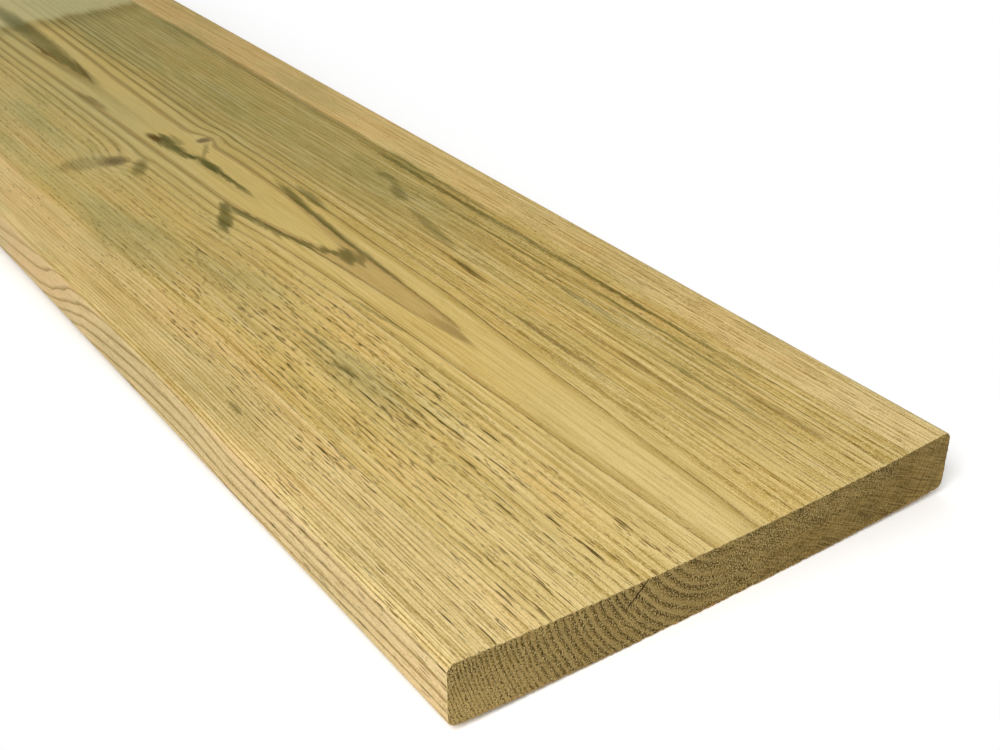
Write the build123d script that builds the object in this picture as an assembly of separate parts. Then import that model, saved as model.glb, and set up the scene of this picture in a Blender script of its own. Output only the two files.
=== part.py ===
from build123d import *
import os

# Rectangular cladding board, planed from a single piece of softwood.
# It lies flat with its heart side up: X runs along the grain, Y across the board and Z up.
# The origin is under the middle of the board, on the line where the cupped back touches the floor.

# Driving dimensions, in mm
length = 1800.0
width = 195.0
thickness = 22.0
cup_depth = 2.8
arris_radius = 3.0


def cupped_arc(lowest_height):
    """One face of the section: an arc that rises by the cup from its middle to both long edges."""
    half_width = width / 2
    edge_height = lowest_height + cup_depth
    return ThreePointArc((-half_width, edge_height), (0, lowest_height), (half_width, edge_height))


def board_section():
    """Cross-section: the back and the face cup alike, so the board is equally thick all the way across."""
    with BuildSketch(Plane.YZ) as section:
        with BuildLine():
            back = cupped_arc(0)
            face = cupped_arc(thickness)
            Line(back @ 0, face @ 0)
            Line(back @ 1, face @ 1)
        make_face()
        # The planer eases all four long arrises
        fillet(section.vertices(), radius=arris_radius)
    return section.sketch


# Both ends are sawn off square
board = extrude(board_section(), amount=length / 2, both=True)
board.label = "board"

os.makedirs("parts", exist_ok=True)
export_step(board, "parts/board.step")
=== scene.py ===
import math
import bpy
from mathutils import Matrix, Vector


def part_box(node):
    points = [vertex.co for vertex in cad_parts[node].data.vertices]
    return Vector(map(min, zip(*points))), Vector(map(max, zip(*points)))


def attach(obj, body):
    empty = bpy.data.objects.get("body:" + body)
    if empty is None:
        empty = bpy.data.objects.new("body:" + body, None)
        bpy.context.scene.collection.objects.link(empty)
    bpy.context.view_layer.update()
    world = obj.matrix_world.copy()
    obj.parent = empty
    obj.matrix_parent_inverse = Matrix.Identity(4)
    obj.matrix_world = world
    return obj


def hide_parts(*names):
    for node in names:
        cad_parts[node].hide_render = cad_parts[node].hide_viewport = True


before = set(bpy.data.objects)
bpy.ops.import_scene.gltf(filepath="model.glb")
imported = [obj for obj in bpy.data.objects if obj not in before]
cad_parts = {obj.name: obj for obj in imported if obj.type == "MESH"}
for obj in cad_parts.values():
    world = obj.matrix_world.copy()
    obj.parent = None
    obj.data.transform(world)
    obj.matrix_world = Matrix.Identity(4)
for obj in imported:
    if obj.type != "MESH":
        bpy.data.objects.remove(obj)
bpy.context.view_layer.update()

from types import SimpleNamespace

import bpy
import numpy as np
from mathutils import Vector

board_low, board_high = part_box("board")

# Board sizes in mm, read from the frame where it has them
MM = 0.001
LENGTH = (board_high.x - board_low.x) / MM
WIDTH = (board_high.y - board_low.y) / MM
NEAR_END = board_high.x / MM
HALF_WIDTH = WIDTH / 2
THICKNESS = 22.0
CUP_DEPTH = 2.8
ARRIS_RADIUS = 3.0
CUP_RADIUS = (HALF_WIDTH ** 2 + CUP_DEPTH ** 2) / (2 * CUP_DEPTH)
CUP_CURVE = 0.5 / CUP_RADIUS

# Camera, in mm and degrees
CAMERA_PLACE = (1138.6, -248.1, 277.2)
CAMERA_AZIMUTH = 54.96
CAMERA_ELEVATION = 30.46
CAMERA_LENS = 52.08

# Mesh density, in mm and counts
COLUMN_PITCH = 0.42
ARRIS_STEPS = 6
SIDE_ROWS = 28
END_STATIONS = (0.0, 0.35, 0.9, 2.0, 4.5, 9.0)
SEEN_LENGTH = 640.0
SEEN_STATIONS = 40
FAR_STATIONS = 17
SHARP_ANGLE = 50
SEED = 195

# Relief, in mm, and the shares of a ring over which its late wood rises and falls
RIDGE_HEIGHT = 0.05
RIDGE_START = 0.55
RIDGE_RISE = 0.3
RIDGE_FALL = 0.06
RAGGED_EDGE = 0.16
RAGGED_EDGE_REACH = 3
RAGGED_END = 0.14
RAGGED_END_REACH = 5
SAW_DEPTH = 0.03
SAW_PITCH = 3.1
SAW_ACROSS = 0.42
SAW_UP = 0.86
TORN_GRAIN = 0.025
END_INSET = 0.14

# Axis of the tree: distance from the near end, place across the board and height above its face
PITH_AXIS = (
    (0, 4.2, 20.2),
    (134, 4.3, 17.1),
    (152, 5.0, 16.75),
    (172, 5.1, 16.2),
    (196, 4.9, 16.0),
    (234, 4.2, 15.15),
    (260, 3.6, 14.2),
    (298, 1.4, 10.9),
    (316, 1.3, 10.4),
    (352, 0.9, 10.22),
    (400, -0.7, 11.6),
    (490, -0.3, 10.5),
    (600, 0.0, 6.8),
    (760, 2.0, 5.6),
    (930, 4.0, 9.5),
    (1150, -1.0, 14.5),
    (1450, 1.5, 11.0),
    (1800, -3.0, 15.0),
)
PITH_SMOOTHING = 35

# Growth rings: outer radii of the first ones, then the ring width at a few radii
INNER_RINGS = (4.5, 10.35, 17.0, 22.0, 26.3, 30.8)
RING_WIDTHS = ((30, 4.3), (49, 2.7), (85, 1.65), (106, 1.1), (140, 1.0))
RING_WIDTH_SPREAD = 0.28
LARGEST_RADIUS = 150.0
SAPWOOD_RADIUS = 75.0
TONGUE_YEAR = 2
TONGUE_MIDDLE = 4.5

# Knots: distance of the root from the near end, place across, height above the face, turn, taper
KNOTS = (
    (379, 7.6, 10.0, 22.0, 0.32),
    (377, -26.6, 16.0, -21.0, 0.38),
    (842, 26.0, 9.0, 30.0, 0.30),
    (846, -22.0, 4.0, -34.0, 0.26),
    (1306, 40.0, 12.0, 24.0, 0.34),
    (1311, -12.0, 2.0, -16.0, 0.24),
)
KNOT_SMALLEST = 0.05
KNOT_LARGEST = 7.0
KNOT_LEAN = 0.12
KNOT_PUSH = 0.8
KNOT_FALL = -0.22

# Marks on the face: distance from the near end, place across, half length and width, turn, strength
GREEN_MARKS = (
    (230, 5.0, 8, 3.6, 12, 0.8),
    (237, 1.2, 9, 2.0, -20, 0.75),
    (225, 8.0, 7, 2.2, 22, 0.65),
    (250, -3.6, 14, 1.7, -13, 0.7),
    (270, -8.0, 15, 1.9, -9, 0.75),
    (290, -11.0, 13, 2.0, -10, 0.75),
    (301, -14.8, 8, 2.6, 20, 0.8),
    (296, -17.6, 5, 2.4, 50, 0.8),
    (289, -20.6, 10, 3.4, 24, 0.85),
    (294, 15.6, 22, 2.0, 6, 0.75),
    (262, 13.2, 30, 1.6, 4, 0.65),
    (228, 11.8, 30, 1.3, 2, 0.6),
    (290, 21.4, 14, 2.4, 4, 0.6),
    (331, 1.3, 22, 1.5, 0, 0.85),
    (350, 1.0, 15, 2.5, 0, 0.9),
    (366, -1.6, 10, 2.5, -22, 0.85),
    (380, -3.8, 12, 3.0, -6, 0.85),
    (391, -3.4, 10, 4.6, -4, 0.85),
    (388, 0.0, 9, 3.6, 0, 0.45),
    (368, 7.0, 11, 1.5, 30, 0.4),
    (366, -26.5, 11, 3.6, 27, 0.6),
    (383, -46, 8, 14, 0, 0.4),
    (540, 1.2, 48, 3.4, 0, 0.75),
    (600, 2.4, 70, 6.0, 0, 0.7),
    (545, 5.6, 54, 1.3, 3, 0.45),
    (290, 60, 9, 2.4, 0, 0.5),
    (272, 55, 10, 3.0, 18, 0.5),
    (232, 47, 22, 2.2, 8, 0.4),
    (192, 38.2, 12, 1.4, 4, 0.5),
    (180, -11, 18, 1.0, -5, 0.5),
    (150, -42, 10, 1.4, -4, 0.6),
    (176, -39, 13, 1.0, -3, 0.5),
    (147, -85.5, 5, 1.0, 0, 0.6),
    (262, 71.3, 64, 1.3, 0, 0.75),
    (150, 72.0, 80, 1.1, 0, 0.7),
    (275, 75.3, 50, 1.1, 0, 0.55),
    (110, 66.2, 60, 1.0, 0, 0.5),
    (160, 58.5, 46, 0.9, 1, 0.45),
    (70, 54.0, 40, 0.8, 0, 0.45),
    (210, 63.5, 50, 1.0, 0, 0.5),
    (430, 74.2, 160, 2.2, 0, 0.35),
)
BROWN_MARKS = (
    (464, -10.9, 17, 2.2, -4, 0.6),
    (556, -2.6, 22, 1.3, -1, 0.8),
    (512, 2.6, 22, 1.2, 8, 0.6),
    (398, -5.8, 7, 2.6, -2, 0.95),
    (196, 38.0, 20, 1.0, 2, 0.5),
    (152, 4.7, 15, 2.0, 0, 0.3),
    (128, 30.5, 34, 0.9, 0, 0.45),
    (88, 44.0, 40, 0.9, 0, 0.45),
    (44, 62.0, 30, 0.8, 0, 0.4),
)
OLIVE_CASTS = (
    (262, -43, 70, 20, 0, 0.45),
    (268, 52, 76, 22, 0, 0.55),
    (520, 52, 290, 34, 0, 0.92),
    (345, -40, 62, 17, 0, 0.5),
    (296, -58, 56, 14, 0, 0.75),
    (146, -41, 30, 8, 0, 0.5),
    (500, -30, 250, 44, 0, 0.45),
    (440, 8, 200, 26, 0, 0.35),
)

# Pale bands that stacking laths left across the face: start and end from the near end, strength
LATH_BANDS = ((616, 692, 0.7), (1218, 1294, 0.35))

# Checks on the ends: place across, height, half length and width, turn, strength
END_CHECKS = (
    (-33.5, 18.3, 5.8, 0.32, 43, 1.0),
    (30.0, 21.2, 1.3, 0.35, 100, 0.8),
)

# Turn of the saw lines on the ends, in degrees
SAW_TURN = 28.0

# Sway of the rings along the board
WAVES = 5
WAVE_LENGTH = 95.0
WAVE_SIZE = 0.22
WAVE_SHORTENING = 0.8
WAVE_BEND = 2.1
WAVE_FULL_RADIUS = 30
WAVE_LEAST = 0.3

# Flat map of the board's skin: strips for the back, right edge, face and left edge, and the ends below
MAP_EDGE = 0.004
MAP_HALF = 0.5
MAP_END = (0.004, 0.058)
MAP_STRIPS = ((0.186, 0.588), (0.066, 0.122), (0.594, 0.996), (0.126, 0.182))

# Wood colours, as they look on screen
# The NEAR colours are paler and the FAR ones darker, partly from the wood's tone and partly as painted
# light at the near end and painted shade further away.
HEART_NEAR_WITH_PAINTED_LIGHT = (224, 199, 133)
HEART = (214, 186, 111)
HEART_FAR_WITH_PAINTED_SHADE = (206, 185, 118)
SAP_NEAR_WITH_PAINTED_LIGHT = (231, 204, 142)
SAP = (218, 189, 122)
SAP_FAR_WITH_PAINTED_SHADE = (200, 170, 111)
EDGE_WOOD = (234, 206, 153)
EDGE_BAND = (150, 118, 62)
LIGHT_STREAK = (232, 209, 150)
GOLD = (217, 184, 104)
BROWN = (170, 138, 64)
TONGUE = (183, 151, 88)
DARK_LINE = (84, 59, 4)
FAR_LINE = (84, 72, 20)
FIBRE = (148, 119, 47)
DASH = (60, 42, 4)
GREEN_STAIN = (60, 63, 12)
BROWN_STAIN = (88, 62, 14)
LATH_PALE = (194, 188, 138)
UPPER_FILTER = (0.875, 0.855, 0.745, 1.0)
CAST_FILTER = (0.70, 0.77, 0.82, 1.0)
OLIVE_FILTER = (0.87, 0.91, 0.90, 1.0)
WARM_FILTER = (1.03, 0.975, 0.95, 1.0)
KNOT_CORE = (128, 110, 70)
KNOT_RING = (156, 136, 90)
KNOT_HEART = (98, 82, 50)
KNOT_PALE = (206, 186, 132)
END_DARK = (120, 97, 46)
END_WARM = (147, 119, 59)
END_LATE = (186, 160, 100)
END_PORE = (54, 37, 8)
END_FUZZ = (208, 185, 124)
END_PALE = (206, 174, 104)
# The next colour is painted light along the lower rim of the ends.
END_LOWER_RIM_PAINTED_LIGHT = (196, 152, 92)

# Sockets of a colour mix node: factor and both colours, and the result
MIX_INPUTS = (0, 6, 7)
MIX_RESULT = 2

# Values of the wood's materials. Pairs and fours are smooth steps: start and end, and what they give there.
# Places along, across and in depth, and radii, are in mm. The others are shares of a ring or of a noise.
# Threes are the sizes of noise cells, in mm.

# Fields of the wood
SOFT_ALONG = (120, 430)
UPPER_ACROSS = (10, 24)
SWAY_CELLS = (60, 9, 9)
SWAY_WEIGHT = 0.28
FLUTTER_CELLS = (11, 1.7, 1.7)
FLUTTER_WEIGHT = 0.11
SHAKE_CELLS = (2.6, 0.5, 0.5)
SHAKE_WEIGHT = 0.05
SWING_GAIN = 5
SWING_MIDDLE = -2.5
WAVER_OUTER_RADII = (88, 99, 1.0, 0.12)
WAVER_INNER_RADII = (14, 30, 0.30, 1.0)
CLOUD_CELLS = (120, 26, 26)

# Late wood and the lines of the rings
START_DRAW = 0.31
LATE_START = 0.45
LATE_START_SPREAD = 0.30
LATE_FULL = 0.94
LATE_END = (0.965, 1.0, 1, 0)
LATE_WHERE_SOFT = (0, 1, 1.0, 0.6)
SAME_YEAR = 0.5
TONGUE_BAND = (0.70, 0.75, 0, 1.05)
TONGUE_GAP = (1, 9, 0.1, 1)
LINE_OUTSIDE = (0.03, 0.09)
LINE_INSIDE = (0.25, 0.43, 1, 0)
SOFT_LINE = (0.0, 1.1, 0.5, 0)
STRENGTH_DRAW = 0.77
STRENGTH_LEAST = 0.50
STRENGTH_SPREAD = 0.55
STRENGTH_LENGTH = 42
STRENGTH_YEAR_SHIFT = 61.7
STRENGTH_SIDE_SHIFT = (-1, 1, 0, 31.3)
STRENGTH_ALONG = (0.34, 0.58, 0.50, 1.0)
ASIDE_ACROSS = (12, 26)
STRENGTH_ASIDE = (0, 1, 1.0, 0.5)
STRENGTH_INNER_RADII = (26, 46, 0.95, 0)
STRENGTH_OUTER_RADII = (96, 101, 0, 0.85)
BEADS = (-0.8, 0.5, 0.45, 1.0)
BEAD_INNER_RADII = (20, 40, 0.9, 0)

# Bare wood
# These steps fade the painted light of the near end out and the painted shade of the far part in. They keep
# the painted light on the left sapwood further along, and darken the far right sapwood with painted shade.
HEART_INWARDS = (0, 170)
HEART_FURTHER = (220, 480)
SAP_LEFT_ALONG = (220, 400, 0, 0.7)
SAP_LEFT_ACROSS = (-60, 0, 1, 0)
SAP_RIGHT_ALONG = (260, 560, 0, 0.75)
SAP_RIGHT_ACROSS = (0, 60)
SAPWOOD_SWAY = 0.6
SAPWOOD_RADII = (SAPWOOD_RADIUS - 0.8, SAPWOOD_RADIUS + 1.2)
OUTER_RADII = (95, 101)
OUTER_DEPTHS = (0.8, 2.6)
GOLD_CLOUDS = (0.42, 0.62, 0, 0.5)
STREAK_CELLS = (85, 1.5, 1.5)
STREAK_RADII = (14, 27, 0.4, 1.0)
STREAK_WHERE_SOFT = (0, 1, 1.0, 0.55)
LIGHT_STREAKS = (0.36, 0.49, 0.6, 0)
BROWN_STREAKS = (0.50, 0.64, 0, 0.6)
PATCH_CELLS = (64, 13, 13)
PATCH_RADII = (20, 34)
PATCH_ALONG = (20, 90, 0.5, 1.0)
OLIVE_PATCHES = (0.36, 0.49, 1.0, 0)
WARM_PATCHES = (0.51, 0.64)

# Bands, lines and fibre of the planed faces
RIGHT_ACROSS = (72, 78, 1, 0.4)
BAND_COVER = (0, 1, 0.72, 1.0)
LINE_COVER = (0, 1, 0.95, 0.15)
LINE_ALONG = (70, 140, 0.5, 1)
LINE_RADII = (30, 46)
LINE_UPPER = 0.4
FIBRE_CELLS = (20, 0.34, 0.34)
FIBRE_WHERE_SOFT = (0, 1, 1.0, 0.4)
FIBRE_RADII = (17, 27, 0.65, 1.0)
DARK_FIBRES = (0.54, 0.68, 0, 0.6)
LIGHT_FIBRES = (0.34, 0.46, 0.35, 0)
SPECK_CELLS = (0.6, 0.4, 0.4)
LIGHT_SPECKS = (0.54, 0.66, 0, 0.6)
DARK_SPECKS = (0.32, 0.45, 0.42, 0)

# Lath bands: waver, the darker line before each band, and how far the edges blur, in mm
LATH_FLUTTER = 1.5
LATH_SWAY = 2.0
LATH_LINE_START = 30
LATH_LINE_FULL = 6
LATH_LINE_SHARE = 0.4
LATH_BLUR = 8
LATH_FADE = 20

# Stains and casts
MARK_EDGE = (0.05, 1.75)
MARK_FLUTTER_ALONG = 2.5
MARK_FLUTTER_ACROSS = 0.55
MARK_SHAKE = 0.25
FACE_DEPTHS = (3, 8, 1, 0)
CAST_ALONG = (620, 800)
CAST_CLOUDS = (0.35, 0.62, 0.2, 0.8)
CAST_FIBRES = (0.35, 0.62, 0.8, 1.15)
WET_CLOUDS = (0.3, 0.6, 0.92, 1.06)
WET_FIBRES = (0.34, 0.62, 1.05, 0.8)

# Dark dashes, their cells turned so that they lie in no row across the board
DASH_TURN = 33.0
DASH_SHARE = 0.50
DASH_REACH = 0.5
DASH_GAIN = 13.0
DASH_ACROSS = (-20, 2, 1.12, 0.66)
DASH_PATCH_CELLS = (50, 9, 9)
DASH_PATCHES = (0.38, 0.58, 0.85, 1.1)
DASH_INNER_RADII = (20, 32, 0.45, 1)
DASH_OUTER_RADII = (82, 96, 1, 0.35)
DASH_NEAR_END = (90, 150, 0.8, 0)
DASH_LATE = (0.05, 0.6, 0.8, 1.1)
DASH_RIM_ALONG = (0, 10, 0.75, 0)
DASH_RIM_RADII = (86, 96, 1, 0.5)
LONG_DASH_CELLS = (9, 0.50, 0.50)
LONG_DASH_WHERE_SOFT = (0, 0.6, 1.05, 0)
SHORT_DASH_CELLS = (5.0, 0.66, 0.66)
SHORT_DASH_ALONG = (40, 120, 0.6, 0.95)
DASH_COVER = (0, 1, 0.9, 0.45)

# Knots on the planed faces, in knot radii from the middle
KNOT_FLUTTER = 0.10
KNOT_SWAY = 0.08
KNOT_HALO_IN = (0.9, 1.3)
KNOT_HALO_OUT = (1.5, 2.6, 1, 0)
KNOT_HALO_SHARE = 0.18
KNOT_RINGS = 17.0
KNOT_RING_COVER = (-1, 1, 0, 0.6)
KNOT_HEART_REACH = (0.2, 0.8, 0.7, 0)
KNOT_REACH = (0.55, 1.30, 0.9, 0)

# Surface of the planed faces
TORN_ALONG = (0.2, 1.1, 0.7, 0)
TORN_SHAKE = (-0.2, 0.6)
PLANED_BUMP = 0.5
PLANED_BUMP_HEIGHT = 0.12
PLANED_ROUGHNESS = (0.3, 0.7, 0.60, 0.78)
PLANED_SPECULAR = 0.03

# Sawn ends: rings and blotches
CLEAR_ACROSS = (-26, 10, 1.0, 0.25)
BLOTCH_CELLS = (60, 11, 6)
BLOTCHES = (0.38, 0.62)
PALE_LEFT_ACROSS = (-96, -50, 0.85, 0)
PALE_LEFT_DEPTHS = (4, 17)
PALE_RIGHT_ACROSS = (74, 96)
PALE_RIGHT_SHARE = 0.25
ARC_START = (0.45, 0.72)
ARC_END = (0.90, 1.0, 1, 0)
ARC_LEAST = 0.4
ARC_SPREAD = 0.5
PORE_ROW_START = (0.0, 0.08)
PORE_ROW_END = (0.22, 0.42, 0.6, 0)

# Sawn ends: saw marks
SAW_STRAY_CELLS = (60, 14, 7)
SAW_STRAY = 0.35
SAW_CELLS = (60, 11, 0.55)
SAW_COVER = 1.25
SAW_LIGHT = (0.49, 0.62, 0, 0.42)
SAW_DARK = (0.36, 0.48, 0.42, 0)
TEETH_CELLS = (60, 0.7, 14)
TEETH_DARK = (0.36, 0.5, 0.35, 0)
TEETH_ACROSS = (45, 75)

# Sawn ends: pores, grit, checks, frayed rims and painted light along the lower rim
PORE_CELLS = (6, 0.80, 0.80)
GRIT_CELLS = (6, 0.50, 0.50)
CLUMP_CELLS = (8, 4.5, 2.4)
CLUMPS = (0.36, 0.60, 0.7, 1.15)
PORE_DEPTHS = (4, 13, 0.95, 0.45)
PORE_FEWER_ACROSS = (5, 40)
PORE_FEWEST_ACROSS = (60, 84, 1.0, 0.45)
PORE_ARC_SHARE = 0.5
PORES = (0.37, 0.51, 1.0, 0)
GRITS = (0.51, 0.62, 0, 0.9)
CHECK_FLUTTER = 0.15
RIM_FLUTTER = 0.3
FRAYED_DEPTHS = (0.15, 0.7, 0.8, 0)
# The next depths place the painted light along the lower rim of the ends.
LOWER_RIM_PAINTED_LIGHT_DEPTHS = (THICKNESS - 0.8, THICKNESS - 0.2, 0, 0.6)

# Surface of the sawn ends
PORE_HEIGHT = 1.6
CHECK_HEIGHT = 2.0
SAWN_BUMP = 0.7
SAWN_BUMP_HEIGHT = 0.3
SAWN_ROUGHNESS = (0.3, 0.7, 0.90, 0.76)
SAWN_SPECULAR = 0.08

# Studio
WHITE = (1, 1, 1, 1)
WHITE_STRENGTH = 1.0
CAMERA_SENSOR = 36.0
CAMERA_CLIP = 0.01
FLOOR_REACH = 9.0
FLOOR_TONE = (0.72, 0.72, 0.72, 1.0)
FLOOR_SEEN = (1.25, 1.25, 1.25, 1.0)
FLOOR_SHADOWED = 0.008
FLOOR_WHITE = 0.08
SKY_LIGHT = 0.42

# Lamps: name, place, target and size in metres, power in watts
LAMPS = (
    ("key", (1.14, -0.54, 0.66), (0.8, 0, 0), 0.5, 5.7),
    ("fill", (0.0, 0.2, 1.6), (0.0, 0, 0), 1.4, 2.7),
    ("far_fill", (-0.9, -0.1, 1.1), (-0.75, 0, 0), 0.9, 4.2),
)


def smooth_path(column):
    """One column of the pith axis at every millimetre along the board, with its corners rounded."""
    stations = [point[0] for point in PITH_AXIS]
    values = [point[column] for point in PITH_AXIS]
    margin = PITH_SMOOTHING // 2
    grid = np.arange(-margin, LENGTH + margin + 1)
    window = np.hanning(PITH_SMOOTHING + 2)[1:-1]
    path = np.interp(grid, stations, values)
    return np.convolve(path, window / window.sum(), mode="valid")


def usual_ring_width(radius):
    """How wide the rings are at this radius, without the spread from year to year."""
    at, width = zip(*RING_WIDTHS)
    return np.interp(radius, at, width)


def ring_radii(rng):
    """Outer radius of every growth ring, from the pith outwards."""
    radii = list(INNER_RINGS)
    while radii[-1] < LARGEST_RADIUS:
        spread = 1 + RING_WIDTH_SPREAD * rng.uniform(-1, 1)
        radii.append(radii[-1] + usual_ring_width(radii[-1]) * spread)
    return np.array([0.0] + radii)


class Wood:
    """The tree's rings as a field through the board: radius and ring number at any point, in mm."""

    def __init__(self):
        rng = np.random.default_rng(SEED)
        self.radii = ring_radii(rng)
        self.across = smooth_path(1)
        self.height = smooth_path(2)
        self.millimetres = np.arange(len(self.across))
        self.waves = rng.uniform(0, 2 * math.pi, (WAVES, 2))

    def pith(self, station):
        """Where the tree's axis is, across and above the board's lowest line."""
        across = np.interp(station, self.millimetres, self.across)
        height = np.interp(station, self.millimetres, self.height) + THICKNESS
        return across, height

    def radius(self, x, y, z):
        """Distance from the tree's axis, with the sway of the rings."""
        station = NEAR_END - x
        pith_y, pith_z = self.pith(station)
        angle = np.arctan2(y - pith_y, pith_z - z)
        radius = np.hypot(y - pith_y, pith_z - z)
        sway = np.zeros_like(radius)
        for number, (start, turn) in enumerate(self.waves, start=1):
            length = WAVE_LENGTH / number ** WAVE_SHORTENING
            bend = WAVE_BEND * np.sin(angle * number + turn)
            sway += np.sin(station / length + start + bend) / number
        return radius + WAVE_SIZE * sway * np.clip(radius / WAVE_FULL_RADIUS, WAVE_LEAST, 1.0)

    def rings(self, radius):
        """Number of full rings at a radius, with the grown share of the next one as its fraction."""
        return np.interp(radius, self.radii, np.arange(len(self.radii)))


def cup_height(y):
    """How far the cup lifts the board at a place across it."""
    return CUP_RADIUS - np.sqrt(CUP_RADIUS ** 2 - y ** 2)


def section_columns():
    """Places across the board, with the arris drop of each, from the left edge to the right."""
    angles = np.linspace(math.pi / 2, 0, ARRIS_STEPS + 1)[:-1]
    arris_y = -HALF_WIDTH + ARRIS_RADIUS - ARRIS_RADIUS * np.sin(angles)
    arris_drop = ARRIS_RADIUS * (1 - np.cos(angles))
    flat = HALF_WIDTH - ARRIS_RADIUS
    middle = np.linspace(-flat, flat, int(2 * flat / COLUMN_PITCH) + 1)
    y = np.concatenate([arris_y, middle, -arris_y[::-1]])
    drop = np.concatenate([arris_drop, np.zeros_like(middle), arris_drop[::-1]])
    return y, drop


def section_stations():
    """Distances from the near end at which the board's surface is divided."""
    near = np.array(END_STATIONS)
    last = near[-1]
    seen = np.linspace(2 * last, SEEN_LENGTH, SEEN_STATIONS)
    far = np.linspace(SEEN_LENGTH, LENGTH - last, FAR_STATIONS + 1)[1:]
    return np.concatenate([near, seen, far, LENGTH - near[:-1][::-1]])


def smooth_noise(rng, count, reach):
    """A seeded random row, smoothed over a few neighbours and scaled to about one."""
    window = np.hanning(reach + 2)[1:-1]
    row = np.convolve(rng.normal(size=count + reach - 1), window / window.sum(), mode="valid")
    return row / row.std()


class Section:
    """The board's cross section: a grid of points and its outline, once round from the lower left."""

    def __init__(self):
        column_y, column_drop = section_columns()
        columns = len(column_y)
        top = THICKNESS + cup_height(column_y) - column_drop
        bottom = cup_height(column_y) + column_drop
        share = np.linspace(0, 1, SIDE_ROWS)
        self.y = np.repeat(column_y[:, None], SIDE_ROWS, axis=1)
        self.z = bottom[:, None] + (top - bottom)[:, None] * share[None, :]
        last_column = columns - 1
        last_row = SIDE_ROWS - 1
        path = [(column, 0) for column in range(last_column)]
        path += [(last_column, row) for row in range(last_row)]
        path += [(column, last_row) for column in range(last_column, 0, -1)]
        path += [(0, row) for row in range(last_row, 0, -1)]
        self.outline = tuple(np.array(path).T)
        self.corners = np.cumsum([0, last_column, last_row, last_column, last_row])
        self.around = len(path)
        self.loop_y = self.y[self.outline]
        self.loop_z = self.z[self.outline]

    def outward(self):
        """The direction straight out of the board at each point of the outline."""
        step_y = np.roll(self.loop_y, -1) - np.roll(self.loop_y, 1)
        step_z = np.roll(self.loop_z, -1) - np.roll(self.loop_z, 1)
        size = np.hypot(step_y, step_z)
        return step_z / size, -step_y / size


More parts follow.
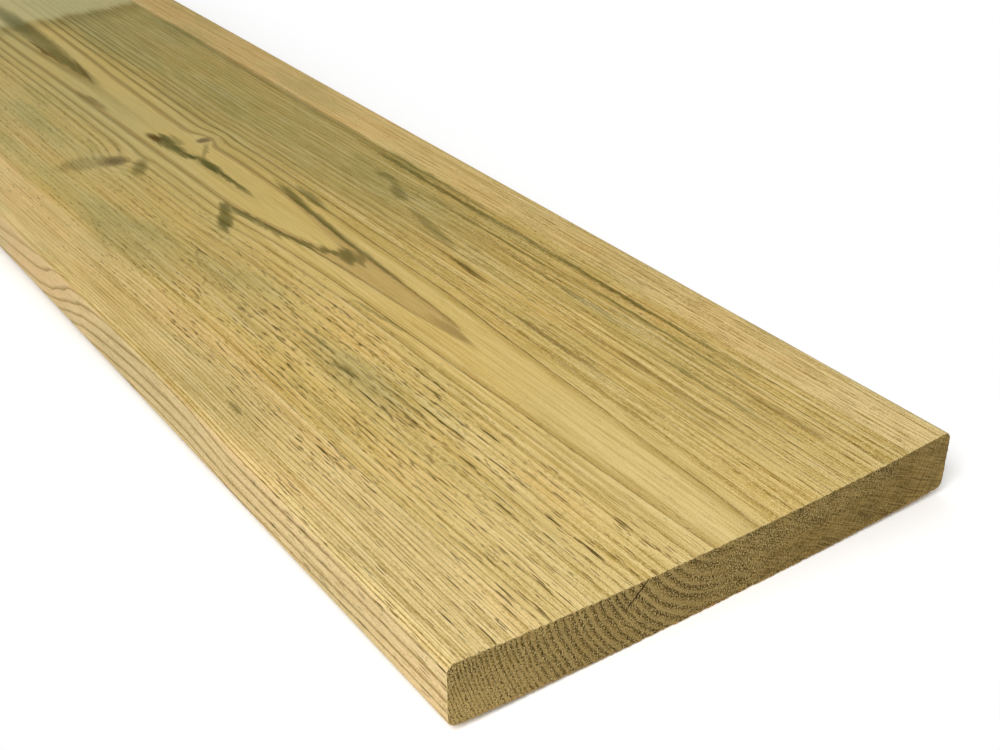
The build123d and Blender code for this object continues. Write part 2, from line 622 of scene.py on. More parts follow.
class BoardMesh:
    """The board's skin: planed faces and edges with raised late wood, and two sawn ends."""

    def __init__(self):
        self.rng = np.random.default_rng(SEED + 1)
        self.section = Section()
        self.stations = section_stations()
        self.points = []
        self.quads = []
        self.maps = []
        self.planed_faces()
        self.planed_count = sum(len(block) for block in self.quads)
        self.sawn_end(0, 1)
        self.sawn_end(len(self.stations) - 1, -1)

    def planed_faces(self):
        """The four long sides: a row of points round the section at every station."""
        section = self.section
        out_y, out_z = section.outward()
        for station in self.stations:
            x = np.full(section.around, NEAR_END - station)
            ring = wood.rings(wood.radius(x, section.loop_y, section.loop_z))
            grown = ring - np.floor(ring)
            rise = np.clip((grown - RIDGE_START) / RIDGE_RISE, 0, 1)
            ridge = rise * np.clip((1 - grown) / RIDGE_FALL, 0, 1)
            lift = RIDGE_HEIGHT * (ridge - 1)
            if station in (0, LENGTH):
                edge_noise = smooth_noise(self.rng, section.around, RAGGED_EDGE_REACH)
                end_noise = smooth_noise(self.rng, section.around, RAGGED_END_REACH)
                lift = lift - RAGGED_EDGE * np.abs(edge_noise)
                x = x - np.sign(x) * RAGGED_END * np.abs(end_noise)
            y = section.loop_y + out_y * lift
            z = section.loop_z + out_z * lift
            self.points.append(np.stack([x, y, z], axis=1))
        steps = np.arange(section.around)
        ahead = np.roll(steps, -1)
        for number in range(len(self.stations) - 1):
            here = number * section.around
            there = here + section.around
            corners = [here + steps, there + steps, there + ahead, here + ahead]
            self.quads.append(np.stack(corners, axis=1))
            self.maps.append(self.strip_map(number))

    def strip_map(self, number):
        """Places on the flat map of the four long sides, between one division and the next."""
        section = self.section
        near, far = MAP_EDGE + (1 - 2 * MAP_EDGE) * self.stations[number:number + 2] / LENGTH
        low = np.zeros(section.around)
        high = np.zeros(section.around)
        step_y = np.roll(section.loop_y, -1) - section.loop_y
        step_z = np.roll(section.loop_z, -1) - section.loop_z
        run = np.hypot(step_y, step_z)
        for side, (bottom, top) in enumerate(MAP_STRIPS):
            first, last = section.corners[side:side + 2]
            reach = np.cumsum(run[first:last])
            share = reach / reach[-1]
            high[first:last] = bottom + (top - bottom) * share
            low[first:last] = bottom + (top - bottom) * np.concatenate([[0], share[:-1]])
        corners = [(near, low), (far, low), (far, high), (near, high)]
        return np.stack([np.stack([np.full_like(v, u), v], axis=1) for u, v in corners], axis=1)

    def sawn_end(self, number, direction):
        """A sawn end: a grid whose rim is the section's outline."""
        section = self.section
        index = np.full(section.y.shape, -1)
        index[section.outline] = number * section.around + np.arange(section.around)
        inside = tuple(np.argwhere(index < 0).T)
        index[inside] = sum(len(block) for block in self.points) + np.arange(len(inside[0]))
        y = section.y[inside]
        z = section.z[inside]
        saw = SAW_DEPTH * np.sin((z * SAW_UP + y * SAW_ACROSS) * 2 * math.pi / SAW_PITCH)
        torn = TORN_GRAIN * self.rng.normal(size=len(y))
        x = direction * (LENGTH / 2 - END_INSET + saw + torn)
        self.points.append(np.stack([x, y, z], axis=1))
        corners = [(slice(None, -1), slice(None, -1)), (slice(1, None), slice(None, -1)),
                   (slice(1, None), slice(1, None)), (slice(None, -1), slice(1, None))]
        bottom, top = MAP_END
        left = MAP_HALF * (direction < 0) + MAP_EDGE
        u = left + (MAP_HALF - 2 * MAP_EDGE) * (section.y + HALF_WIDTH) / WIDTH
        v = bottom + (top - bottom) * section.z / (THICKNESS + CUP_DEPTH)
        order = corners[::direction]
        self.quads.append(np.stack([index[corner] for corner in order], axis=-1).reshape(-1, 4))
        place = np.stack([u, v], axis=-1)
        self.maps.append(np.stack([place[corner] for corner in order], axis=2).reshape(-1, 4, 2))

    def piece(self):
        """The finished object, with the wood's fields, a flat map and the faces of both materials."""
        points = np.concatenate(self.points)
        quads = np.concatenate(self.quads)
        radius = wood.radius(*points.T)
        sawn = (np.arange(len(quads)) >= self.planed_count).astype(int)
        mesh = bpy.data.meshes.new("board_wood")
        mesh.from_pydata((points * MM).tolist(), [], quads.tolist())
        for name, values in (
            ("radius", radius),
            ("ring", wood.rings(radius)),
            ("ring_width", usual_ring_width(radius)),
        ):
            mesh.attributes.new(name, "FLOAT", "POINT").data.foreach_set("value", values)
        mesh.polygons.foreach_set("material_index", sawn)
        layer = mesh.uv_layers.new(name="OFBake")
        layer.data.foreach_set("uv", np.concatenate(self.maps).ravel())
        mesh.shade_smooth()
        mesh.set_sharp_from_angle(angle=math.radians(SHARP_ANGLE))
        made = bpy.data.objects.new("board_wood", mesh)
        bpy.context.scene.collection.objects.link(made)
        return made


def linear(red, green, blue):
    """A colour written as it looks on screen, 0 to 255, made linear by the sRGB curve."""
    def one(level):
        level = level / 255
        return level / 12.92 if level <= 0.04045 else ((level + 0.055) / 1.055) ** 2.4
    return (one(red), one(green), one(blue), 1.0)


class Wiring:
    """Short ways to add and join a material's nodes."""

    def __init__(self, tree):
        self.tree = tree
        tree.nodes.clear()

    def node(self, kind, inputs=(), **settings):
        made = self.tree.nodes.new(kind)
        for name, value in settings.items():
            setattr(made, name, value)
        for name, value in dict(inputs).items():
            self.put(made.inputs[name], value)
        return made

    def put(self, socket, value):
        if isinstance(value, bpy.types.NodeSocket):
            self.tree.links.new(value, socket)
        elif value is not None:
            socket.default_value = value

    def math(self, operation, a, b=None, c=None, clamp=False):
        made = self.node("ShaderNodeMath", operation=operation, use_clamp=clamp)
        for socket, value in zip(made.inputs, (a, b, c)):
            self.put(socket, value)
        return made.outputs[0]

    def add(self, *values):
        total = values[0]
        for value in values[1:]:
            total = self.math("ADD", total, value)
        return total

    def times(self, *values):
        product = values[0]
        for value in values[1:]:
            product = self.math("MULTIPLY", product, value)
        return product

    def less(self, a, b):
        return self.math("SUBTRACT", a, b)

    def most(self, values):
        top = values[0]
        for value in values[1:]:
            top = self.math("MAXIMUM", top, value)
        return top

    def step(self, value, low, high, at_low=0.0, at_high=1.0):
        """A smooth step that is at_low below low and at_high above high."""
        made = self.node("ShaderNodeMapRange", {
            "Value": value, "From Min": low, "From Max": high, "To Min": at_low, "To Max": at_high,
        }, interpolation_type="SMOOTHSTEP")
        return made.outputs["Result"]

    def mix(self, factor, a, b, blend="MIX"):
        made = self.node("ShaderNodeMix", data_type="RGBA", blend_type=blend)
        for number, value in zip(MIX_INPUTS, (factor, a, b)):
            self.put(made.inputs[number], value)
        return made.outputs[MIX_RESULT]

    def paint(self, factor, colour, tone):
        """A colour with a tone, written as it looks on screen, laid over it."""
        return self.mix(factor, colour, linear(*tone))

    def tint(self, factor, colour, tone):
        """A colour seen through a filter."""
        return self.mix(factor, colour, tone, blend="MULTIPLY")

    def vector(self, operation, a, b=None, scale=None):
        made = self.node("ShaderNodeVectorMath", operation=operation)
        for socket, value in zip(made.inputs, (a, b, None, scale)):
            self.put(socket, value)
        return made.outputs["Value" if operation in ("LENGTH", "DOT_PRODUCT") else "Vector"]

    def split(self, vector):
        return self.node("ShaderNodeSeparateXYZ", {0: vector}).outputs

    def join(self, x, y, z):
        return self.node("ShaderNodeCombineXYZ", {0: x, 1: y, 2: z}).outputs[0]

    def attribute(self, name):
        return self.node("ShaderNodeAttribute", attribute_name=name).outputs["Fac"]

    def cells(self, place, size, shift=0.0, turn=0.0):
        """A place in metres counted in cells of the given size in mm, then turned about Z."""
        made = self.node("ShaderNodeMapping", {
            "Vector": place, "Location": (shift, shift, shift), "Rotation": (0, 0, math.radians(turn)),
            "Scale": tuple(1 / (side * MM) for side in size),
        }, vector_type="POINT")
        return made.outputs[0]

    def noise(self, place, size, detail=2.0, rough=0.5, shift=0.0):
        """Noise from 0 to 1 with features of about the given size, in mm."""
        made = self.node("ShaderNodeTexNoise", {
            "Vector": self.cells(place, size, shift), "Scale": 1.0, "Detail": detail, "Roughness": rough,
        })
        return made.outputs["Fac"]

    def swing(self, place, size, shift=0.0):
        """Noise that strays about one to either side of zero."""
        noise = self.noise(place, size, detail=1, shift=shift)
        return self.math("MULTIPLY_ADD", noise, SWING_GAIN, SWING_MIDDLE)

    def row_noise(self, along):
        """Noise from 0 to 1 along one number."""
        made = self.node("ShaderNodeTexNoise", {
            "W": along, "Scale": 1.0, "Detail": 2.0, "Roughness": 0.5,
        }, noise_dimensions="1D")
        return made.outputs["Fac"]

    def chance(self, number, shift):
        """A random share, the same wherever the number is the same."""
        made = self.node("ShaderNodeTexWhiteNoise", {"W": self.add(number, shift)}, noise_dimensions="1D")
        return made.outputs["Value"]

    def surface(self, colour, roughness, specular, height, bump, bump_height):
        """The material's output: a matt surface with a bump, whose height is in mm."""
        relief = self.node("ShaderNodeBump", {
            "Strength": bump, "Distance": bump_height * MM, "Height": height,
        })
        shader = self.node("ShaderNodeBsdfPrincipled", {
            "Base Color": colour, "Roughness": roughness,
            "Normal": relief.outputs[0], "Specular IOR Level": specular,
        })
        self.node("ShaderNodeOutputMaterial", {"Surface": shader.outputs[0]})


def knots(w, point):
    """Knots as cones that point down: how near a place is to one, and how far it pushes the rings."""
    nearest = None
    pushed = None
    for station, across, height, turn, taper in KNOTS:
        turned = math.radians(turn)
        axis = Vector((-KNOT_LEAN, math.sin(turned), -math.cos(turned))).normalized()
        away = w.vector("SUBTRACT", point, (NEAR_END - station, across, THICKNESS + height))
        along = w.vector("DOT_PRODUCT", away, tuple(axis))
        distance = w.vector("LENGTH", w.vector("CROSS_PRODUCT", away, tuple(axis)))
        grown = w.math("MAXIMUM", w.times(along, taper), KNOT_SMALLEST)
        size = w.math("MINIMUM", grown, KNOT_LARGEST)
        reach = w.math("DIVIDE", distance, size)
        nearest = reach if nearest is None else w.math("MINIMUM", nearest, reach)
        fall = w.math("EXPONENT", w.times(reach, reach, KNOT_FALL))
        push = w.times(size, KNOT_PUSH, fall)
        pushed = push if pushed is None else w.add(pushed, push)
    return nearest, pushed


def wood_fields(w):
    """The sockets that the wood's colours are worked out from."""
    f = SimpleNamespace()
    f.place = w.node("ShaderNodeTexCoord").outputs["Object"]
    point = w.vector("SCALE", f.place, scale=1 / MM)
    x, f.y, f.z = w.split(point)
    f.station = w.less(NEAR_END, x)
    f.soft = w.step(f.station, *SOFT_ALONG)
    f.upper = w.step(f.y, *UPPER_ACROSS)
    f.depth = w.less(w.math("MULTIPLY_ADD", w.times(f.y, f.y), CUP_CURVE, THICKNESS), f.z)
    f.radius = w.attribute("radius")
    f.knot, push = knots(w, point)
    f.sway = w.swing(f.place, SWAY_CELLS)
    f.flutter = w.swing(f.place, FLUTTER_CELLS)
    f.shake = w.swing(f.place, SHAKE_CELLS)
    waver = w.add(
        w.times(f.sway, SWAY_WEIGHT), w.times(f.flutter, FLUTTER_WEIGHT), w.times(f.shake, SHAKE_WEIGHT),
    )
    waver = w.times(waver, w.step(f.radius, *WAVER_OUTER_RADII), w.step(f.radius, *WAVER_INNER_RADII))
    width = w.attribute("ring_width")
    ring = w.add(w.attribute("ring"), w.math("DIVIDE", w.less(waver, push), width))
    f.grown = w.math("FRACT", ring)
    f.year = w.math("FLOOR", ring)
    f.inside_edge = w.times(w.less(1, f.grown), width)
    f.beside_edge = w.math("MINIMUM", f.inside_edge, w.times(f.grown, width))
    f.cloud = w.noise(f.place, CLOUD_CELLS, detail=3)
    return f


def late_wood(w, f):
    """Late wood as a band that fills the end of each ring, and nearly half of the tongue's ring."""
    start = w.math("MULTIPLY_ADD", w.chance(f.year, START_DRAW), LATE_START_SPREAD, LATE_START)
    outside = w.step(f.grown, *LATE_END)
    f.tongue = w.math("COMPARE", f.year, TONGUE_YEAR, SAME_YEAR)
    band = w.times(w.step(f.grown, start, LATE_FULL), w.less(1, f.tongue), w.step(f.soft, *LATE_WHERE_SOFT))
    broad = w.times(w.step(f.grown, *TONGUE_BAND), f.tongue)
    f.late = w.times(w.add(band, broad), outside)


def ring_lines(w, f):
    """The dark line that ends each ring: thin near the end of the board and softer further away."""
    crisp = w.times(w.step(f.inside_edge, *LINE_OUTSIDE), w.step(f.inside_edge, *LINE_INSIDE))
    broad = w.step(f.beside_edge, *SOFT_LINE)
    sideways = w.step(w.math("ABSOLUTE", w.less(f.y, TONGUE_MIDDLE)), *TONGUE_GAP)
    f.edge = w.times(w.add(w.times(crisp, w.less(1, f.soft)), w.times(broad, f.soft)), sideways)
    along = w.times(f.station, 1 / STRENGTH_LENGTH)
    along = w.add(along, w.times(f.year, STRENGTH_YEAR_SHIFT), w.step(f.y, *STRENGTH_SIDE_SHIFT))
    along = w.step(w.row_noise(along), *STRENGTH_ALONG)
    strength = w.math("MULTIPLY_ADD", w.chance(f.year, STRENGTH_DRAW), STRENGTH_SPREAD, STRENGTH_LEAST)
    aside = w.step(w.math("ABSOLUTE", f.y), *ASIDE_ACROSS)
    strength = w.times(strength, along, w.step(w.times(f.soft, aside), *STRENGTH_ASIDE))
    inner = w.step(f.radius, *STRENGTH_INNER_RADII)
    f.strength = w.most([strength, inner, w.step(f.radius, *STRENGTH_OUTER_RADII)])
    f.bead = w.most([w.step(f.shake, *BEADS), w.step(f.radius, *BEAD_INNER_RADII), f.soft])


def marks(w, place, spots):
    """How strongly the listed marks cover a place, which is given as along, across and one."""
    cover = None
    for along, across, half_length, half_width, turn, strength in spots:
        cosine = math.cos(math.radians(turn))
        sine = math.sin(math.radians(turn))
        lengthways = Vector((cosine, sine, -along * cosine - across * sine)) / half_length
        sideways = Vector((-sine, cosine, along * sine - across * cosine)) / half_width
        far = w.vector("DOT_PRODUCT", place, tuple(lengthways))
        wide = w.vector("DOT_PRODUCT", place, tuple(sideways))
        square = w.math("MULTIPLY_ADD", wide, wide, w.times(far, far))
        one = w.step(square, *MARK_EDGE, strength, 0)
        cover = one if cover is None else w.math("MAXIMUM", cover, one)
    return cover


def dashes(w, f, size, amount):
    """Short dark marks along the grain, in a share of the cells of the given size."""
    cells = w.cells(f.place, size, turn=DASH_TURN)
    voronoi = w.node("ShaderNodeTexVoronoi", {"Vector": cells, "Scale": 1.0})
    pick = w.node("ShaderNodeSeparateColor", {0: voronoi.outputs["Color"]}).outputs[0]
    gain = DASH_REACH / DASH_SHARE
    reach = w.times(w.math("MULTIPLY_ADD", pick, gain, DASH_REACH - gain), amount)
    return w.times(w.less(reach, voronoi.outputs["Distance"]), DASH_GAIN)


def heart_and_sap(w, f):
    """The wood's colour, paler in the sapwood and with golden clouds. It is paler at the near end and along
    the left sapwood, and darker further along and in the far right sapwood, partly from the wood's tone and
    partly as painted light and painted shade.
    """
    # Painted light and shade, partly the wood's tone: paler at the near end, darker further along.
    inwards = w.step(f.station, *HEART_INWARDS)
    further = w.step(f.station, *HEART_FURTHER)
    heart = w.paint(further, w.paint(inwards, linear(*HEART_NEAR_WITH_PAINTED_LIGHT), HEART), HEART_FAR_WITH_PAINTED_SHADE)
    heart = w.tint(f.upper, heart, UPPER_FILTER)
    # Painted light, partly the wood's tone: the left sapwood stays paler further along.
    left = w.times(w.step(f.station, *SAP_LEFT_ALONG), w.step(f.y, *SAP_LEFT_ACROSS))
    sap = w.paint(w.less(inwards, left), linear(*SAP_NEAR_WITH_PAINTED_LIGHT), SAP)
    # Painted shade, partly the wood's tone: the far right sapwood is darker.
    right = w.times(w.step(f.station, *SAP_RIGHT_ALONG), w.step(f.y, *SAP_RIGHT_ACROSS))
    sap = w.paint(right, sap, SAP_FAR_WITH_PAINTED_SHADE)
    limit = w.add(f.radius, w.times(f.sway, SAPWOOD_SWAY))
    f.sapwood = w.step(limit, *SAPWOOD_RADII)
    f.outer = w.times(w.step(f.radius, *OUTER_RADII), w.step(f.depth, *OUTER_DEPTHS))
    heart = w.paint(w.step(f.cloud, *GOLD_CLOUDS), heart, GOLD)
    return w.paint(f.outer, w.mix(f.sapwood, heart, sap), EDGE_WOOD)


def bare_wood(w, f):
    """The wood's own colour with light and brown streaks and olive and warm patches."""
    colour = heart_and_sap(w, f)
    streak = w.noise(f.place, STREAK_CELLS, detail=3, rough=0.6, shift=7.0)
    streaked = w.times(w.step(f.radius, *STREAK_RADII), w.step(f.soft, *STREAK_WHERE_SOFT))
    colour = w.paint(w.times(w.step(streak, *LIGHT_STREAKS), streaked), colour, LIGHT_STREAK)
    brown = w.times(w.step(streak, *BROWN_STREAKS), w.less(1, f.outer), streaked)
    colour = w.paint(brown, colour, BROWN)
    patch = w.noise(f.place, PATCH_CELLS, detail=2, shift=41.0)
    patched = w.times(w.step(f.radius, *PATCH_RADII), w.step(f.station, *PATCH_ALONG))
    colour = w.tint(w.times(w.step(patch, *OLIVE_PATCHES), patched), colour, OLIVE_FILTER)
    return w.tint(w.times(w.step(patch, *WARM_PATCHES), patched), colour, WARM_FILTER)


def plain_grain(w, f):
    """Bands, lines and fibre of the planed faces, before any stain."""
    colour = bare_wood(w, f)
    right = w.step(f.y, *RIGHT_ACROSS)
    band = w.times(f.late, f.strength, w.step(f.outer, *BAND_COVER), w.most([right, f.outer]))
    band_colour = w.paint(f.tongue, w.paint(f.outer, linear(*BROWN), EDGE_BAND), TONGUE)
    colour = w.mix(band, colour, band_colour)
    inner = w.most([w.step(f.station, *LINE_ALONG), w.step(f.radius, *LINE_RADII)])
    line = w.times(f.edge, f.strength, f.bead, w.step(f.outer, *LINE_COVER), right, inner)
    line = w.times(line, w.add(1, w.times(f.upper, LINE_UPPER)))
    colour = w.mix(line, colour, w.paint(f.soft, linear(*DARK_LINE), FAR_LINE))
    f.fibre = w.noise(f.place, FIBRE_CELLS, detail=2, rough=0.6)
    near = w.times(w.step(f.soft, *FIBRE_WHERE_SOFT), w.step(f.radius, *FIBRE_RADII))
    dark = w.times(w.step(f.fibre, *DARK_FIBRES), near, w.add(1, f.upper))
    colour = w.paint(dark, colour, FIBRE)
    colour = w.paint(w.times(w.step(f.fibre, *LIGHT_FIBRES), near), colour, LIGHT_STREAK)
    speck = w.noise(f.place, SPECK_CELLS, detail=1, shift=3.0)
    colour = w.paint(w.times(w.step(speck, *LIGHT_SPECKS), near), colour, LIGHT_STREAK)
    return w.paint(w.times(w.step(speck, *DARK_SPECKS), near), colour, FIBRE)


def lath_bands(w, f, colour):
    """Pale green bands across the heartwood, each with a darker line before it."""
    station = w.add(f.station, w.times(f.flutter, LATH_FLUTTER), w.times(f.sway, LATH_SWAY))
    for start, end, strength in LATH_BANDS:
        line_full = start - LATH_LINE_FULL
        blurred = start + LATH_BLUR
        rise = w.step(station, start - LATH_LINE_START, line_full)
        before = w.times(rise, w.step(station, line_full, blurred, LATH_LINE_SHARE * strength, 0))
        colour = w.paint(w.times(before, f.heart_face), colour, GREEN_STAIN)
        rise = w.step(station, start - LATH_BLUR, blurred)
        band = w.times(rise, w.step(station, end - LATH_FADE, end, strength, 0))
        colour = w.paint(w.times(band, f.heart_face), colour, LATH_PALE)
    return colour


def stained_grain(w, f, colour):
    """Casts, lath bands and green and brown stains on the planed faces."""
    along = w.add(f.station, w.times(f.flutter, MARK_FLUTTER_ALONG))
    across = w.add(f.y, w.times(f.flutter, MARK_FLUTTER_ACROSS), w.times(f.shake, MARK_SHAKE))
    place = w.join(along, across, 1.0)
    near_face = w.step(f.depth, *FACE_DEPTHS)
    f.heart_face = w.times(w.less(1, f.sapwood), near_face)
    further = w.times(w.step(f.station, *CAST_ALONG), w.step(f.cloud, *CAST_CLOUDS))
    cast = w.most([w.times(marks(w, place, OLIVE_CASTS), near_face), further])
    cast = w.times(cast, w.less(1, f.sapwood), w.step(f.fibre, *CAST_FIBRES))
    colour = w.tint(cast, colour, CAST_FILTER)
    colour = lath_bands(w, f, colour)
    wet = w.times(near_face, w.step(f.cloud, *WET_CLOUDS), w.step(f.fibre, *WET_FIBRES))
    colour = w.paint(w.times(marks(w, place, GREEN_MARKS), wet), colour, GREEN_STAIN)
    return w.paint(w.times(marks(w, place, BROWN_MARKS), wet), colour, BROWN_STAIN)


def dashed_grain(w, f, colour):
    """Dark dashes, mostly on the left half of the face, and a row of them at the very end."""
    lower = w.step(f.y, *DASH_ACROSS)
    patch = w.step(w.noise(f.place, DASH_PATCH_CELLS, shift=23.0), *DASH_PATCHES)
    calm = w.times(w.step(f.radius, *DASH_INNER_RADII), w.step(f.radius, *DASH_OUTER_RADII))
    calm = w.most([calm, w.step(f.station, *DASH_NEAR_END)])
    amount = w.times(lower, patch, calm, w.step(f.late, *DASH_LATE))
    rim = w.times(w.step(f.station, *DASH_RIM_ALONG), w.step(f.radius, *DASH_RIM_RADII))
    long_amount = w.most([w.times(amount, w.step(f.soft, *LONG_DASH_WHERE_SOFT)), rim])
    short_amount = w.times(amount, w.step(f.station, *SHORT_DASH_ALONG))
    dash = w.math("MINIMUM", w.most([
        dashes(w, f, LONG_DASH_CELLS, long_amount),
        dashes(w, f, SHORT_DASH_CELLS, short_amount),
    ]), 1.0, clamp=True)
    return w.paint(w.times(dash, w.step(f.soft, *DASH_COVER)), colour, DASH)


def knotted_grain(w, f, colour):
    """Knots with a grey brown core and a paler ring of wood round them."""
    waver = w.add(f.knot, w.times(f.flutter, KNOT_FLUTTER), w.times(f.sway, KNOT_SWAY))
    halo = w.times(w.step(waver, *KNOT_HALO_IN), w.step(waver, *KNOT_HALO_OUT))
    colour = w.paint(w.times(halo, KNOT_HALO_SHARE), colour, KNOT_PALE)
    rings = w.math("SINE", w.times(waver, KNOT_RINGS))
    core = w.paint(w.step(rings, *KNOT_RING_COVER), linear(*KNOT_CORE), KNOT_RING)
    core = w.paint(w.step(waver, *KNOT_HEART_REACH), core, KNOT_HEART)
    return w.mix(w.step(waver, *KNOT_REACH), colour, core)


def planed_wood():
    """The planed faces and edges."""
    material = bpy.data.materials.new("treated_softwood")
    material.use_nodes = True
    w = Wiring(material.node_tree)
    f = wood_fields(w)
    late_wood(w, f)
    ring_lines(w, f)
    colour = stained_grain(w, f, plain_grain(w, f))
    colour = knotted_grain(w, f, dashed_grain(w, f, colour))
    torn = w.times(w.step(f.station, *TORN_ALONG), w.step(f.shake, *TORN_SHAKE))
    colour = w.paint(torn, colour, END_FUZZ)
    roughness = w.step(f.fibre, *PLANED_ROUGHNESS)
    w.surface(colour, roughness, PLANED_SPECULAR, f.fibre, PLANED_BUMP, PLANED_BUMP_HEIGHT)
    return material


def sawn_rings(w, f):
    """Blotches, pale corners and the arcs of the rings on a sawn end."""
    f.clear = w.step(f.y, *CLEAR_ACROSS)
    blotch = w.noise(f.place, BLOTCH_CELLS, detail=2)
    colour = w.paint(w.step(blotch, *BLOTCHES), linear(*END_DARK), END_WARM)
    low_left = w.times(w.step(f.y, *PALE_LEFT_ACROSS), w.step(f.depth, *PALE_LEFT_DEPTHS))
    right = w.times(w.step(f.y, *PALE_RIGHT_ACROSS), PALE_RIGHT_SHARE)
    colour = w.paint(w.most([low_left, right]), colour, END_PALE)
    f.arc = w.times(w.step(f.grown, *ARC_START), w.step(f.grown, *ARC_END), f.clear)
    arc_cover = w.times(f.arc, w.math("MULTIPLY_ADD", f.strength, ARC_SPREAD, ARC_LEAST))
    colour = w.paint(arc_cover, colour, END_LATE)
    row = w.times(w.step(f.grown, *PORE_ROW_START), w.step(f.grown, *PORE_ROW_END), f.clear)
    return w.paint(row, colour, END_PORE)


def saw_marks(w, f, colour):
    """Slanting light and dark lines that the saw left, and the steps of its teeth on the right."""
    turned = w.node("ShaderNodeVectorRotate", {
        "Vector": f.place, "Angle": math.radians(SAW_TURN),
    }, rotation_type="X_AXIS").outputs[0]
    stray = w.times(w.swing(f.place, SAW_STRAY_CELLS, shift=9.0), SAW_STRAY * MM)
    swirl = w.vector("ADD", turned, w.join(0.0, 0.0, stray))
    saw = w.noise(swirl, SAW_CELLS, detail=2)
    sawn = w.less(SAW_COVER, f.clear)
    colour = w.paint(w.times(w.step(saw, *SAW_LIGHT), sawn), colour, END_LATE)
    colour = w.paint(w.times(w.step(saw, *SAW_DARK), sawn), colour, END_PORE)
    teeth = w.noise(swirl, TEETH_CELLS, detail=1, shift=17.0)
    return w.paint(w.times(w.step(teeth, *TEETH_DARK), w.step(f.y, *TEETH_ACROSS)), colour, END_PORE)


def open_pores(w, f, colour):
    """Open pores and light grit on a sawn end, in clumps and fewer towards the lower right."""
    f.pore = w.noise(f.place, PORE_CELLS, detail=2, rough=0.7)
    grit = w.noise(f.place, GRIT_CELLS, detail=1, shift=5.0)
    clump = w.step(w.noise(f.place, CLUMP_CELLS, shift=11.0), *CLUMPS)
    fewer = w.times(w.step(f.y, *PORE_FEWER_ACROSS), w.less(1, w.step(f.depth, *PORE_DEPTHS)))
    beside_arcs = w.less(1, w.times(f.arc, PORE_ARC_SHARE))
    share = w.times(w.less(1, fewer), w.step(f.y, *PORE_FEWEST_ACROSS), clump, beside_arcs)
    colour = w.paint(w.times(w.step(f.pore, *PORES), share), colour, END_PORE)
    return w.paint(w.times(w.step(grit, *GRITS), share), colour, END_FUZZ)


def frayed_and_painted_light_rims(w, f, colour):
    """Torn fibre along the upper rim of a sawn end, and a pale warm band of painted light along the lower
    one.
    """
    depth = w.add(f.depth, w.times(f.flutter, RIM_FLUTTER))
    frayed = w.times(w.step(depth, *FRAYED_DEPTHS), w.step(f.shake, *TORN_SHAKE))
    colour = w.paint(frayed, colour, END_FUZZ)
    # Painted light: a pale warm band along the lowest rim of the end.
    return w.paint(w.step(depth, *LOWER_RIM_PAINTED_LIGHT_DEPTHS), colour, END_LOWER_RIM_PAINTED_LIGHT)


def sawn_wood():
    """The sawn ends, with open pores, light grit, a check, frayed edges and painted light along the lower
    rim.
    """
    material = bpy.data.materials.new("treated_softwood_end")
    material.use_nodes = True
    w = Wiring(material.node_tree)
    f = wood_fields(w)
    late_wood(w, f)
    ring_lines(w, f)
    colour = open_pores(w, f, saw_marks(w, f, sawn_rings(w, f)))
    place = w.join(w.add(f.y, w.times(f.flutter, CHECK_FLUTTER)), f.z, 1.0)
    check = marks(w, place, END_CHECKS)
    colour = frayed_and_painted_light_rims(w, f, w.paint(check, colour, END_PORE))
    height = w.less(w.times(f.pore, PORE_HEIGHT), w.times(check, CHECK_HEIGHT))
    roughness = w.step(f.pore, *SAWN_ROUGHNESS)
    w.surface(colour, roughness, SAWN_SPECULAR, height, SAWN_BUMP, SAWN_BUMP_HEIGHT)
    return material


def seen_directly(w):
    """One where the camera, a reflection or a refraction looks straight at the surface."""
    path = w.node("ShaderNodeLightPath").outputs
    return w.most([path["Is Camera Ray"], path["Is Glossy Ray"], path["Is Transmission Ray"]])


def floor_material():
    """A floor that shows the shadow beside the board and is pure white further out."""
    material = bpy.data.materials.new("floor")
    material.use_nodes = True
    w = Wiring(material.node_tree)
    seen = seen_directly(w)
    diffuse = w.node("ShaderNodeBsdfDiffuse", {"Color": w.mix(seen, FLOOR_TONE, FLOOR_SEEN)})
    white = w.node("ShaderNodeEmission", {"Color": WHITE, "Strength": WHITE_STRENGTH})
    place = w.split(w.node("ShaderNodeTexCoord").outputs["Object"])
    past_end = w.math("MAXIMUM", w.less(w.math("ABSOLUTE", place["X"]), LENGTH / 2 * MM), 0.0)
    past_edge = w.math("MAXIMUM", w.less(w.math("ABSOLUTE", place["Y"]), HALF_WIDTH * MM), 0.0)
    distance = w.vector("LENGTH", w.join(past_end, past_edge, 0.0))
    away = w.step(distance, FLOOR_SHADOWED, FLOOR_WHITE)
    both = w.node("ShaderNodeMixShader", {
        0: w.times(away, seen), 1: diffuse.outputs[0], 2: white.outputs[0],
    })
    w.node("ShaderNodeOutputMaterial", {"Surface": both.outputs[0]})
    return material


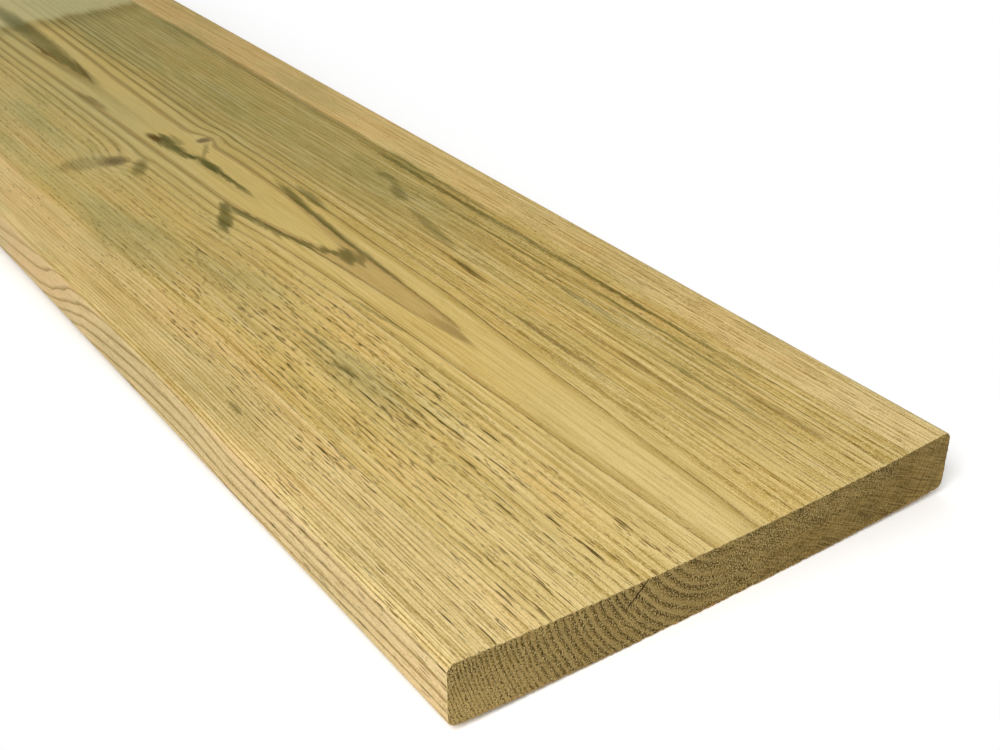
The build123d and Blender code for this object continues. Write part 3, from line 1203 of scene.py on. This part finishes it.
def floor():
    """The stage that the board lies on."""
    mesh = bpy.data.meshes.new("floor")
    corners = [(-FLOOR_REACH, -FLOOR_REACH, 0), (FLOOR_REACH, -FLOOR_REACH, 0),
               (FLOOR_REACH, FLOOR_REACH, 0), (-FLOOR_REACH, FLOOR_REACH, 0)]
    mesh.from_pydata(corners, [], [(0, 1, 2, 3)])
    mesh.materials.append(floor_material())
    made = bpy.data.objects.new("floor", mesh)
    bpy.context.scene.collection.objects.link(made)


def world_light():
    """A dim white sky that looks pure white where it is seen directly."""
    world = bpy.data.worlds.new("studio")
    bpy.context.scene.world = world
    world.use_nodes = True
    w = Wiring(world.node_tree)
    soft = w.node("ShaderNodeBackground", {"Color": WHITE, "Strength": SKY_LIGHT})
    white = w.node("ShaderNodeBackground", {"Color": WHITE, "Strength": WHITE_STRENGTH})
    both = w.node("ShaderNodeMixShader", {0: seen_directly(w), 1: soft.outputs[0], 2: white.outputs[0]})
    w.node("ShaderNodeOutputWorld", {"Surface": both.outputs[0]})


def softbox(name, place, target, size, power):
    """A square lamp that points at a target."""
    lamp = bpy.data.lights.new(name, "AREA")
    lamp.shape = "SQUARE"
    lamp.size = size
    lamp.energy = power
    made = bpy.data.objects.new(name, lamp)
    made.location = place
    aim = Vector(target) - Vector(place)
    made.rotation_euler = aim.to_track_quat("-Z", "Y").to_euler()
    bpy.context.scene.collection.objects.link(made)


def camera():
    """The camera of the photo."""
    data = bpy.data.cameras.new("camera")
    data.lens = CAMERA_LENS
    data.sensor_width = CAMERA_SENSOR
    data.sensor_fit = "HORIZONTAL"
    data.clip_start = CAMERA_CLIP
    made = bpy.data.objects.new("camera", data)
    made.location = Vector(CAMERA_PLACE) * MM
    made.rotation_euler = (math.radians(90 - CAMERA_ELEVATION), 0, math.radians(CAMERA_AZIMUTH))
    bpy.context.scene.collection.objects.link(made)
    bpy.context.scene.camera = made


wood = Wood()
board = BoardMesh().piece()
board.data.materials.append(planed_wood())
board.data.materials.append(sawn_wood())
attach(board, "root")
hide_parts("board")

floor()
world_light()
for lamp_values in LAMPS:
    softbox(*lamp_values)
camera()
bpy.context.scene.view_settings.view_transform = "Standard"
